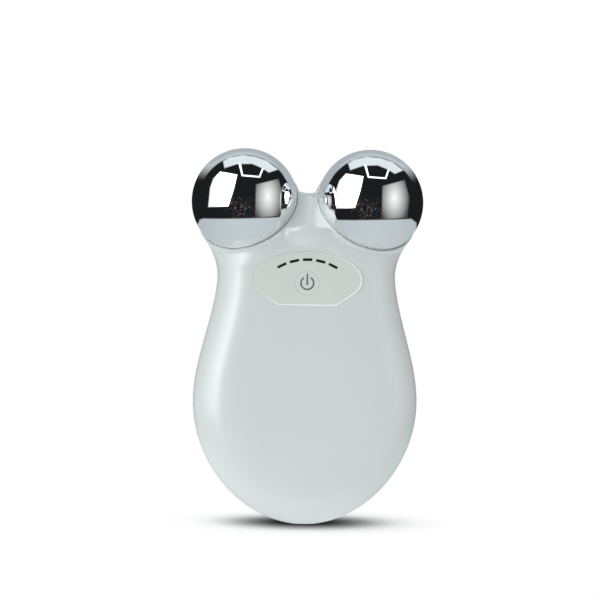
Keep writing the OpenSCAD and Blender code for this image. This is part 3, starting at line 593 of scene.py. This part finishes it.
class Wire:
    """A socket that shader maths is written with: expressions on wires and numbers add nodes."""

    def __init__(self, graph, socket):
        self.graph = graph
        self.socket = socket

    def maths(self, operation, *others, clamp=False):
        settings = {"operation": operation, "use_clamp": clamp}
        return self.graph.node("ShaderNodeMath", settings, [self, *others])

    def __add__(self, other):
        return self.maths("ADD", other)

    def __sub__(self, other):
        return self.maths("SUBTRACT", other)

    def __mul__(self, other):
        return self.maths("MULTIPLY", other)

    def __truediv__(self, other):
        return self.maths("DIVIDE", other)

    def __radd__(self, other):
        return self + other

    def __rmul__(self, other):
        return self * other

    def __rsub__(self, other):
        return self * -1 + other

    def __pow__(self, other):
        return self.maths("POWER", other)

    def lesser(self, other):
        return self.maths("MINIMUM", other)

    def held(self):
        """Held between 0 and 1."""
        return self.maths("ADD", 0.0, clamp=True)

    def step(self, start, end):
        """0 below start and 1 above end, with a smooth passage."""
        inputs = {"Value": self, "From Min": start, "From Max": end}
        return self.graph.node("ShaderNodeMapRange", {"interpolation_type": "SMOOTHSTEP"}, inputs)


class Graph:
    """The nodes of one material or world."""

    def __init__(self, owner):
        owner.use_nodes = True
        self.tree = owner.node_tree
        self.tree.nodes.clear()

    def node(self, kind, settings=(), inputs=(), output=0):
        """A node of a type with its settings, then its sockets' values or links: one output."""
        node = self.tree.nodes.new(kind)
        for key, value in dict(settings).items():
            setattr(node, key, value)
        pairs = inputs.items() if isinstance(inputs, dict) else enumerate(inputs)
        for key, value in pairs:
            if isinstance(value, Wire):
                self.tree.links.new(value.socket, node.inputs[key])
            else:
                node.inputs[key].default_value = value
        return Wire(self, node.outputs[output]) if node.outputs else None

    def parts(self, vector):
        """A vector's three parts."""
        return [self.node("ShaderNodeSeparateXYZ", (), [vector], k) for k in range(3)]

    def place_on_object(self):
        """Object coordinates in millimetres."""
        vector = self.node("ShaderNodeTexCoord", output="Object")
        inputs = {"Vector": vector, "Scale": 1 / MM}
        return self.node("ShaderNodeVectorMath", {"operation": "SCALE"}, inputs)

    def noise(self, vector, scale, detail=3.0, roughness=0.5):
        """Noise of about 0 to 1, its cells 1 / scale units wide."""
        inputs = {"Vector": vector, "Scale": scale, "Detail": detail, "Roughness": roughness}
        return self.node("ShaderNodeTexNoise", (), inputs)

    def blend(self, factor, a, b):
        """Colour a where the factor is 0 and b where it is 1."""
        ends = {k: c if isinstance(c, Wire) else (*c, 1.0) for k, c in ((6, a), (7, b))}
        return self.node("ShaderNodeMix", {"data_type": "RGBA"}, {0: factor, **ends}, 2)


def linear(r, g, b):
    """A colour from its 0 to 255 screen values."""
    shares = [v / 255 for v in (r, g, b)]
    return tuple(s / 12.92 if s < 0.0404 else ((s + 0.055) / 1.055) ** 2.4 for s in shares)


def grey(level):
    """A colour with three equal parts."""
    return (level, level, level)


MOTTLE = (0.3, 0.7)
LEAN_MOTTLE = 0.05
FINER = 7
FINE_DETAIL = 5.0
BUMP_GRAIN = 4.0
BUMP_DETAIL = 2.0
BUMP_DEPTH = 0.0001


def finish(name, colour, other, rough, metallic=0.0, grain=0.15, rough_spread=0.05, bump=0.0,
           gloss=0.5, lean=None):
    """A Principled finish: two colours mixed by noise, roughness by finer noise, and a bump.

    With lean (a, b, c) the second colour's share is a x + b z + c, in millimetres, and the noise
    adds a little to it.
    """
    material = bpy.data.materials.new(name)
    graph = Graph(material)
    vector = graph.place_on_object()
    share = graph.noise(vector, grain).step(*MOTTLE)
    if lean:
        x, _y, z = graph.parts(vector)
        share = (x * lean[0] + z * lean[1] + lean[2] + share * LEAN_MOTTLE).held()
    fine = graph.noise(vector, grain * FINER, FINE_DETAIL)
    inputs = {
        "Base Color": graph.blend(share, colour, other),
        "Roughness": fine * rough_spread + (rough - rough_spread / 2),
        "Metallic": metallic,
        "Specular IOR Level": gloss,
    }
    if bump:
        relief = graph.noise(vector, BUMP_GRAIN, BUMP_DETAIL)
        values = {"Height": relief, "Strength": bump, "Distance": BUMP_DEPTH}
        inputs["Normal"] = graph.node("ShaderNodeBump", (), values)
    surface = graph.node("ShaderNodeBsdfPrincipled", (), inputs)
    graph.node("ShaderNodeOutputMaterial", (), {"Surface": surface})
    return material


housing_plastic = finish("housing_plastic", linear(211, 219, 218), linear(209, 218, 217), 0.31,
                         grain=0.06, bump=0.01, gloss=0.9)
panel_plastic = finish("panel_plastic", linear(210, 218, 212), linear(207, 215, 210), 0.32,
                       grain=0.1)
button_plastic = finish("button_plastic", linear(210, 218, 215), linear(208, 216, 213), 0.32,
                        grain=0.3)
# painted highlight: the panel line's colour runs from the panel's own to near white towards the
# right and bottom
panel_line_painted_highlight = finish("panel_line_painted_highlight", linear(211, 219, 213), linear(247, 252, 251), 0.32,
                    lean=(0.035, -0.07, 5.525))
icon_ink = finish("icon_ink", linear(92, 98, 98), linear(102, 107, 107), 0.5, grain=0.6)
ball_chrome = finish("ball_chrome", (0.93, 0.935, 0.94), (0.95, 0.95, 0.955), 0.035,
                     metallic=1.0, grain=0.2, rough_spread=0.012)

# The CAD nodes that show their own mesh: two colours, roughness, other values, and the nodes
INNER = {
    "window_plastic": (linear(20, 22, 24), linear(28, 29, 31), 0.3, {"grain": 0.5},
                       ["light_guide"]),
    "screw_steel": ((0.62, 0.62, 0.6), (0.5, 0.5, 0.49), 0.3, {"metallic": 1.0, "grain": 0.5},
                    ["left_ball_screw", "right_ball_screw", "board_screws"]),
    "terminal_brass": ((0.83, 0.63, 0.3), (0.74, 0.52, 0.22), 0.28,
                       {"metallic": 1.0, "grain": 0.5},
                       ["left_ball_terminal", "right_ball_terminal", "socket_pin"]),
    "white_insulation": (linear(232, 230, 224), linear(222, 220, 212), 0.45, {"grain": 0.6},
                         ["left_ball_lead", "right_ball_lead"]),
    "red_insulation": (linear(190, 30, 26), linear(172, 24, 22), 0.42, {"grain": 0.6},
                       ["battery_lead_red"]),
    "black_insulation": (linear(30, 30, 32), linear(40, 40, 42), 0.42, {"grain": 0.6},
                         ["battery_lead_black", "socket_leads"]),
    "board_laminate": (linear(24, 92, 52), linear(30, 108, 60), 0.4, {"grain": 0.9},
                       ["circuit_board"]),
    "black_plastic": (linear(26, 27, 29), linear(36, 37, 39), 0.5, {"grain": 0.8},
                      ["switch_case", "switch_plunger", "controller_chip", "charger_chip",
                       "charging_socket"]),
    "lamp_resin": (linear(240, 238, 226), linear(228, 224, 206), 0.25, {"grain": 1.2},
                   ["level_leds"]),
    "coil_ferrite": (linear(52, 50, 50), linear(70, 66, 64), 0.6, {"grain": 1.5},
                     ["boost_coil"]),
    "capacitor_ceramic": (linear(176, 140, 100), linear(160, 124, 86), 0.5, {"grain": 1.5},
                          ["board_capacitors"]),
    "cell_foil": ((0.68, 0.7, 0.73), (0.6, 0.62, 0.66), 0.36,
                  {"metallic": 0.9, "grain": 0.1, "bump": 0.2},
                  ["battery_cell"]),
    "pad_foam": (linear(60, 62, 66), linear(44, 46, 50), 0.9, {"grain": 2.0, "bump": 0.6},
                 ["battery_pad"]),
    "connector_nylon": (linear(236, 232, 218), linear(226, 220, 202), 0.42, {"grain": 0.7},
                        ["battery_header", "battery_plug"]),
}
for finish_name, (*values, more, node_names) in INNER.items():
    material = finish(finish_name, *values, **more)
    for node_name in node_names:
        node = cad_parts[node_name]
        node.data.materials.clear()
        node.data.materials.append(material)

# ---- the pieces ----

BALL_ROWS = 150
HOLLOW_ROWS = 40
CAP_POINTS = 9
ICON_RING_POINTS = 73
ICON_BAR_POINTS = 9


def housing_half(name, facing, node, openings=()):
    """A shell less the seats and its own openings, with the form's true normals."""
    piece = shell(name, facing)
    cut(piece, [*seat_cutters(), *openings])
    true_normals(piece)
    settle(piece, "housing", housing_plastic, [node])


def ball(name, side, node):
    """Polished sphere, flat and bore at its back, post and hollow, all turned as one profile."""
    flat_h = math.sqrt(BALL_R**2 - BALL_FLAT_R**2)
    hollow_r = BALL_R - BALL_WALL
    outer = arc(BALL_R, 0, math.acos(-flat_h / BALL_R), BALL_ROWS)
    bore = [(BALL_BORE_R, -flat_h), (BALL_BORE_R, BALL_POST_END), (BALL_POST_R, BALL_POST_END)]
    inner = arc(hollow_r, math.pi - math.asin(BALL_POST_R / hollow_r), 0, HOLLOW_ROWS)
    points, faces = revolved(np.concatenate([outer, bore, inner]), BALL_COLUMNS)
    piece = place(name, turned(points, ball_frame(side)), faces, BALL_CREASE)
    settle(piece, "housing", ball_chrome, [node])


def panel():
    """A plate as rings that run in from its outline to the button's hole, front and back."""
    centre = (0, BUTTON_Z)
    hole_r = BUTTON_R + BUTTON_GAP
    way = panel_outline(-PANEL_BEVEL) - centre
    way /= np.linalg.norm(way, axis=-1, keepdims=True)
    rings = [(panel_outline(0), POCKET_FLOOR)]
    for inset, drop in rounded_edge(PANEL_BEVEL):
        rings.append((panel_outline(-inset), PANEL_FRONT - drop))
    for inset, drop in rounded_edge(HOLE_ROUND)[::-1]:
        rings.append((way * (hole_r + inset) + centre, PANEL_FRONT - drop))
    rings.append((way * hole_r + centre, POCKET_FLOOR))
    rows = np.stack([set_forward(outline, y) for outline, y in rings])
    piece = place("control_panel_plate", rows, ring_faces(len(rows), PANEL_COLUMNS), CREASE)
    cut(piece, window_cutters())
    piece.data.set_sharp_from_angle(angle=math.radians(CREASE))
    settle(piece, "housing", panel_plastic, ["control_panel"])


def panel_rim():
    """The thin line round the panel: a flat ring just inside its outline, painted near white
    towards the right and bottom as a painted highlight.
    """
    near, far = PANEL_LINE
    low, high = PANEL_FRONT - PANEL_LINE_SUNK, PANEL_FRONT + PANEL_LINE_PROUD
    rings = [(-near, low), (-near, high), (-far, high), (-far, low)]
    rows = np.stack([set_forward(panel_outline(grow), y) for grow, y in rings])
    piece = place("control_panel_line", rows, ring_faces(len(rows), PANEL_COLUMNS), CREASE)
    settle(piece, "housing", panel_line_painted_highlight)


def upright(points):
    """Points turned so that +Z becomes forward, which is -Y, and moved to the button's centre."""
    return np.stack([points[:, 0], -points[:, 2], points[:, 1] + BUTTON_Z], -1)


def button():
    """Round face with a rounded edge, retaining flange and stem, turned as one profile."""
    edge = [(BUTTON_R - inset, BUTTON_FRONT - drop) for inset, drop in rounded_edge(BUTTON_ROUND)]
    flange_back = FLANGE_FRONT - FLANGE_T
    profile = [
        (0, BUTTON_FRONT), *edge[::-1], (BUTTON_R, FLANGE_FRONT), (FLANGE_R, FLANGE_FRONT),
        (FLANGE_R, flange_back), (STEM_R, flange_back), (STEM_R, BUTTON_BACK), (0, BUTTON_BACK),
    ]
    points, faces = revolved(profile, TURNED_COLUMNS)
    piece = place("power_button_cap", upright(points), faces, CREASE)
    settle(piece, "power_button", button_plastic, ["power_button"])


def stroke(path, half, low, high):
    """A flat stroke with round ends along a path in X and Z, as a closed slab."""
    along = np.gradient(path, axis=0)
    along /= np.linalg.norm(along, axis=-1, keepdims=True)
    out = np.stack([along[:, 1], -along[:, 0]], -1)
    a = np.linspace(-math.pi / 2, math.pi / 2, CAP_POINTS)[1:-1, None]
    cap_end = path[-1] + half * (np.cos(a) * along[-1] - np.sin(a) * out[-1])
    cap_start = path[0] - half * (np.cos(a) * along[0] - np.sin(a) * out[0])
    sides = path + out * half, (path - out * half)[::-1]
    return prism(np.concatenate([sides[0], cap_end, sides[1], cap_start]), low, high)


def icon():
    """Ring open at its top with a bar in the opening: the usual sign for on and off."""
    ends = math.pi / 2 + ICON_OPENING, 5 * math.pi / 2 - ICON_OPENING
    a = np.linspace(*ends, ICON_RING_POINTS)
    ring = np.stack([ICON_R * np.cos(a), ICON_R * np.sin(a) + BUTTON_Z], -1)
    height = BUTTON_Z + np.linspace(*ICON_BAR, ICON_BAR_POINTS)
    bar = np.stack([0 * height, height], -1)
    low, high = BUTTON_FRONT - ICON_SUNK, BUTTON_FRONT + ICON_PROUD
    for name, path in (("power_icon_ring", ring), ("power_icon_bar", bar)):
        points, faces = stroke(path, ICON_STROKE / 2, low, high)
        piece = place(name, points, faces, CREASE)
        settle(piece, "power_button", icon_ink)


button_hole = prism(circle_outline(BUTTON_R + BUTTON_GAP, BUTTON_Z), *THROUGH_FACE)
housing_half("front_housing", -1, "front_shell", [pocket_cutter(), button_hole, *window_cutters()])
housing_half("rear_housing", 1, "rear_shell")
ball("left_ball_polished", -1, "left_ball")
ball("right_ball_polished", 1, "right_ball")
panel()
panel_rim()
button()
icon()

# ---- studio ----

FLOOR_HALF = 3000.0
FLOOR_HALF_T = 0.5
# Painted contact shadow: the floor paper is near black inside an oval under the part and pale
# outside it
SHADOW_HALF = (38.6, 28.6)
PAINTED_SHADOW_RISE = (0.12, 0.9)
SHADOW_END = (0.4, 1.2)
PAINTED_SHADOW_LEVEL = 0.006
PAPER_LEVEL = 0.97
GLOW_CENTRE = (-20.0, 0.0)
GLOW_RISE = (10.0, 40.0)
GLOW_END = (60.0, 130.0)
GLOW_NEAR, GLOW_MOST, GLOW_FAR = 1.0, 1.25, 0.9
DIM_RISE = (-15.0, 45.0)
DIM_SHARE = 0.3


def oval_reach(u, v, centre, half):
    """0 at an oval's centre and 1 on its outline."""
    return (((u - centre[0]) / half[0]) ** 2 + ((v - centre[1]) / half[1]) ** 2) ** 0.5


def floor():
    """A pale floor: it takes the part's shadow and a painted contact shadow under the part, is
    plain white further out, and lights the part.

    The light it gives the part rises round the part's foot, dims to the right and fades far out.
    """
    outline = box_outline(FLOOR_HALF, FLOOR_HALF_T, 0, -FLOOR_HALF_T)
    piece = place("floor", *prism(outline, -FLOOR_HALF, FLOOR_HALF))
    material = bpy.data.materials.new("floor_paper")
    graph = Graph(material)
    x, y, _z = graph.parts(graph.place_on_object())
    reach = oval_reach(x, y, (0, 0), SHADOW_HALF)
    camera = graph.node("ShaderNodeLightPath", output="Is Camera Ray")
    # painted contact shadow: the paper's colour runs from near black at the oval's middle to pale
    # at its edge
    colour = graph.blend(reach.step(*PAINTED_SHADOW_RISE), grey(PAINTED_SHADOW_LEVEL), grey(PAPER_LEVEL))
    paper = graph.node("ShaderNodeBsdfDiffuse", (), {"Color": colour})
    white = graph.node("ShaderNodeEmission", (), {"Color": (*grey(1.0), 1.0)})
    seen = graph.node("ShaderNodeMixShader", (), [reach.step(*SHADOW_END), paper, white])
    away = oval_reach(x, y, GLOW_CENTRE, (1, 1))
    colour = graph.blend(away.step(*GLOW_RISE), grey(GLOW_NEAR), grey(GLOW_MOST))
    colour = graph.blend(x.step(*DIM_RISE) * DIM_SHARE, colour, grey(0.0))
    colour = graph.blend(away.step(*GLOW_END), colour, grey(GLOW_FAR))
    lit = graph.node("ShaderNodeEmission", (), {"Color": colour})
    surface = graph.node("ShaderNodeMixShader", (), [camera, lit, seen])
    graph.node("ShaderNodeOutputMaterial", (), {"Surface": surface})
    piece.data.materials.append(material)
    piece.visible_glossy = False


def inside(u, v, corners, soft):
    """1 inside a convex outline given anticlockwise and 0 outside, over a passage of width soft."""
    least = None
    for (u0, v0), (u1, v1) in zip(corners, corners[1:] + corners[:1]):
        length = math.hypot(u1 - u0, v1 - v0)
        gap = v * ((u1 - u0) / length) - u * ((v1 - v0) / length)
        gap = gap + (u0 * (v1 - v0) - v0 * (u1 - u0)) / length
        least = gap if least is None else least.lesser(gap)
    return (least / soft + 0.5).held()


def between(u, v, outer, inner, soft):
    """1 inside one outline and outside another."""
    return inside(u, v, outer, soft) * (1 - inside(u, v, inner, soft))


# Outlines in a mirror ball that is seen along +Y, anticlockwise
SOFTBOX = [
    (-0.683, -0.115), (-0.312, -0.083), (-0.215, 0.24), (-0.156, 0.5), (-0.47, 0.55),
    (-0.597, 0.42), (-0.655, 0.25),
]
GREY_SHEET = [(0.191, -0.295), (0.68, -0.26), (0.72, 0.1), (0.632, 0.428), (0.203, 0.326)]
WINDOW_OUTER = [(-0.064, 0.482), (0.276, 0.456), (0.345, 0.62), (-0.125, 0.72)]
WINDOW_INNER = [(-0.044, 0.505), (0.262, 0.48), (0.335, 0.66), (-0.095, 0.76)]
CEILING_OUTER = [
    (-0.385, 0.6), (0.42, 0.54), (0.62, 0.6), (0.42, 0.76), (0.2, 0.84), (-0.05, 0.87),
    (-0.3, 0.82), (-0.42, 0.75),
]
CEILING_INNER = [
    (-0.5, 0.3), (0.6, 0.3), (0.43, 0.56), (0.32, 0.63), (0.13, 0.71), (-0.146, 0.705),
    (-0.385, 0.625),
]
TABLE = [
    (-0.62, -0.95), (0.6, -0.95), (0.88, -0.48), (0.86, -0.36), (0.76, -0.285), (-0.769, -0.340),
    (-0.837, -0.374), (-0.86, -0.5),
]
SOFT_EDGE, WINDOW_EDGE, TABLE_EDGE = 0.02, 0.012, 0.025

# Brightness of what the gloss shows
SOFTBOX_RISE = (-0.62, -0.32)
SOFTBOX_LEAST, SOFTBOX_GAIN = 1.1, 4.3
SHEET_GLOW_CENTRE, SHEET_GLOW_HALF = (0.43, 0.1), (0.28, 0.5)
SHEET_LEAST, SHEET_GAIN = 0.07, 0.98
WINDOW_LEVEL = 2.4
CEILING_LEVEL = 0.84
CLUTTER_CENTRE, CLUTTER_HALF = (-0.06, -0.12), (8**-0.5, 14**-0.5)
CLUTTER_SCALE, CLUTTER_DETAIL, CLUTTER_ROUGHNESS = 13.0, 4.0, 0.7
CLUTTER_RISE = (0.5, 0.72)
CLUTTER_LEVEL = 0.3
DARK_LEVEL = 0.012
TABLE_LEVEL, TABLE_FALL = 0.62, 0.14
BACK_RISE, BACK_HEIGHT = (0.862, 0.882), (0.35, 0.7)
BACK_LEVEL = 0.56
ROOM_TINT = (0.91, 1.01, 1.065)
LAMP_TINT = (0.985, 1.0, 0.99)
COOL_TINT, WARM_TINT = (0.75, 0.9, 1.2), (1.2, 0.95, 0.75)
TINT_SCALE, TINT_RISE = 5.0, (0.44, 0.56)
CLUTTER_TINT_GAIN = 4

# Brightness of the plain soft light, and how it changes to the right and upwards
SOFT_LEVEL, SOFT_RIGHT, SOFT_SIDES, SOFT_UP = 0.95, -0.42, 0.12, -0.05
SCALE_LEAST = 2.0001


def studio():
    """What the room looks like: plain soft light, white to the camera, and its lamps in the gloss.

    A direction d is given by its place (u, v) in a mirror ball that is seen along +Y:
    u = dx / sqrt(2 - 2 dy), v = dz / sqrt(2 - 2 dy). The gloss shows a softbox, a grey sheet, a
    window frame, a ceiling band, a table, dark clutter, and a band high up behind the part.
    """
    world = bpy.data.worlds.new("studio")
    bpy.context.scene.world = world
    graph = Graph(world)
    way = graph.node("ShaderNodeTexCoord", output="Generated")
    dx, dy, dz = graph.parts(way)
    scale = (SCALE_LEAST - dy * 2) ** 0.5
    u, v = dx / scale, dz / scale
    softbox = inside(u, v, SOFTBOX, SOFT_EDGE)
    sheet = inside(u, v, GREY_SHEET, SOFT_EDGE)
    glow = (1 - oval_reach(u, v, SHEET_GLOW_CENTRE, SHEET_GLOW_HALF)).held()
    window = between(u, v, WINDOW_OUTER, WINDOW_INNER, WINDOW_EDGE)
    ceiling = between(u, v, CEILING_OUTER, CEILING_INNER, SOFT_EDGE)
    table = inside(u, v, TABLE, TABLE_EDGE)
    back = oval_reach(u, v, (0, 0), (1, 1)).step(*BACK_RISE) * v.step(*BACK_HEIGHT)
    near = 1 - oval_reach(u, v, CLUTTER_CENTRE, CLUTTER_HALF)
    clutter = graph.noise(way, CLUTTER_SCALE, CLUTTER_DETAIL, CLUTTER_ROUGHNESS)
    clutter = clutter.step(*CLUTTER_RISE) * near.held()
    level = softbox * (u.step(*SOFTBOX_RISE) * SOFTBOX_GAIN + SOFTBOX_LEAST)
    level = level + sheet * (glow * SHEET_GAIN + SHEET_LEAST)
    level = level + window * WINDOW_LEVEL + ceiling * CEILING_LEVEL
    level = level + (clutter * CLUTTER_LEVEL + DARK_LEVEL) * (1 - table)
    level = level + table * (TABLE_LEVEL - u * u * TABLE_FALL) + back * BACK_LEVEL
    gloss = graph.node("ShaderNodeLightPath", output="Is Glossy Ray")
    seen = graph.node("ShaderNodeLightPath", output="Is Camera Ray")
    soft = SOFT_LEVEL + dx * SOFT_RIGHT + dx * dx * SOFT_SIDES + dz * SOFT_UP
    strength = soft + (level - soft) * gloss
    strength = strength + (1 - strength) * seen
    odd = graph.blend(graph.noise(way, TINT_SCALE).step(*TINT_RISE), COOL_TINT, WARM_TINT)
    tint = graph.blend((near * CLUTTER_TINT_GAIN).held() * (1 - table), ROOM_TINT, odd)
    tint = graph.blend((sheet + softbox).held(), tint, LAMP_TINT)
    tint = graph.blend(gloss, grey(1.0), tint)
    tint = graph.blend(seen, tint, grey(1.0))
    background = graph.node("ShaderNodeBackground", (), {"Color": tint, "Strength": strength})
    graph.node("ShaderNodeOutputWorld", (), {"Surface": background})


CARD_FORWARD = -23.0
CARD_T = 0.5
CARD_LIGHT = (0.42, 0.47, 0.5, 1.0)
CARD_OUTLINE = [
    (-29.5, 96), (29.5, 96), (43, 121), (43, 131), (30, 137), (-30, 137), (-43, 131), (-43, 121),
]


def card():
    """A small pale sheet behind the head that shows only in the gloss, at the balls' edges."""
    piece = place("reflector_card", *prism(CARD_OUTLINE, CARD_FORWARD - CARD_T, CARD_FORWARD))
    material = bpy.data.materials.new("reflector_paper")
    graph = Graph(material)
    paper = graph.node("ShaderNodeEmission", (), {"Color": CARD_LIGHT})
    graph.node("ShaderNodeOutputMaterial", (), {"Surface": paper})
    piece.data.materials.append(material)
    piece.visible_camera = False
    piece.visible_diffuse = False
    piece.visible_shadow = False


# The view's distances are in metres, but for its scale
VIEW_MM_PER_PIXEL = 0.2941
VIEW_PIXELS = 600
VIEW_SENSOR = 36.0
VIEW_END = 50.0
VIEW_DISTANCE = 0.9
VIEW_ELEVATION = math.radians(3)
VIEW_TURN = math.radians(1.4)
VIEW_ROLL = math.radians(0.75)
VIEW_CENTRE = Vector((-0.00174, 0.0, 0.0656))


def camera():
    """A long lens at the photograph's angle, a little to the left and rolled."""
    lens = bpy.data.cameras.new("camera")
    lens.sensor_width = VIEW_SENSOR
    lens.lens = VIEW_SENSOR * VIEW_DISTANCE / (VIEW_MM_PER_PIXEL * MM * VIEW_PIXELS)
    lens.clip_end = VIEW_END
    item = bpy.data.objects.new("camera", lens)
    bpy.context.collection.objects.link(item)
    tilt = Matrix.Rotation(math.pi / 2 - VIEW_ELEVATION, 4, "X")
    roll = Matrix.Rotation(VIEW_ROLL, 4, "Z")
    turn = Matrix.Rotation(-VIEW_TURN, 4, "Z")
    away = Vector((0, -math.cos(VIEW_ELEVATION), math.sin(VIEW_ELEVATION))) * VIEW_DISTANCE
    away.rotate(turn)
    item.matrix_world = Matrix.Translation(VIEW_CENTRE + away) @ turn @ tilt @ roll
    bpy.context.scene.camera = item


floor()
studio()
card()
camera()
bpy.context.scene.view_settings.view_transform = "Standard"
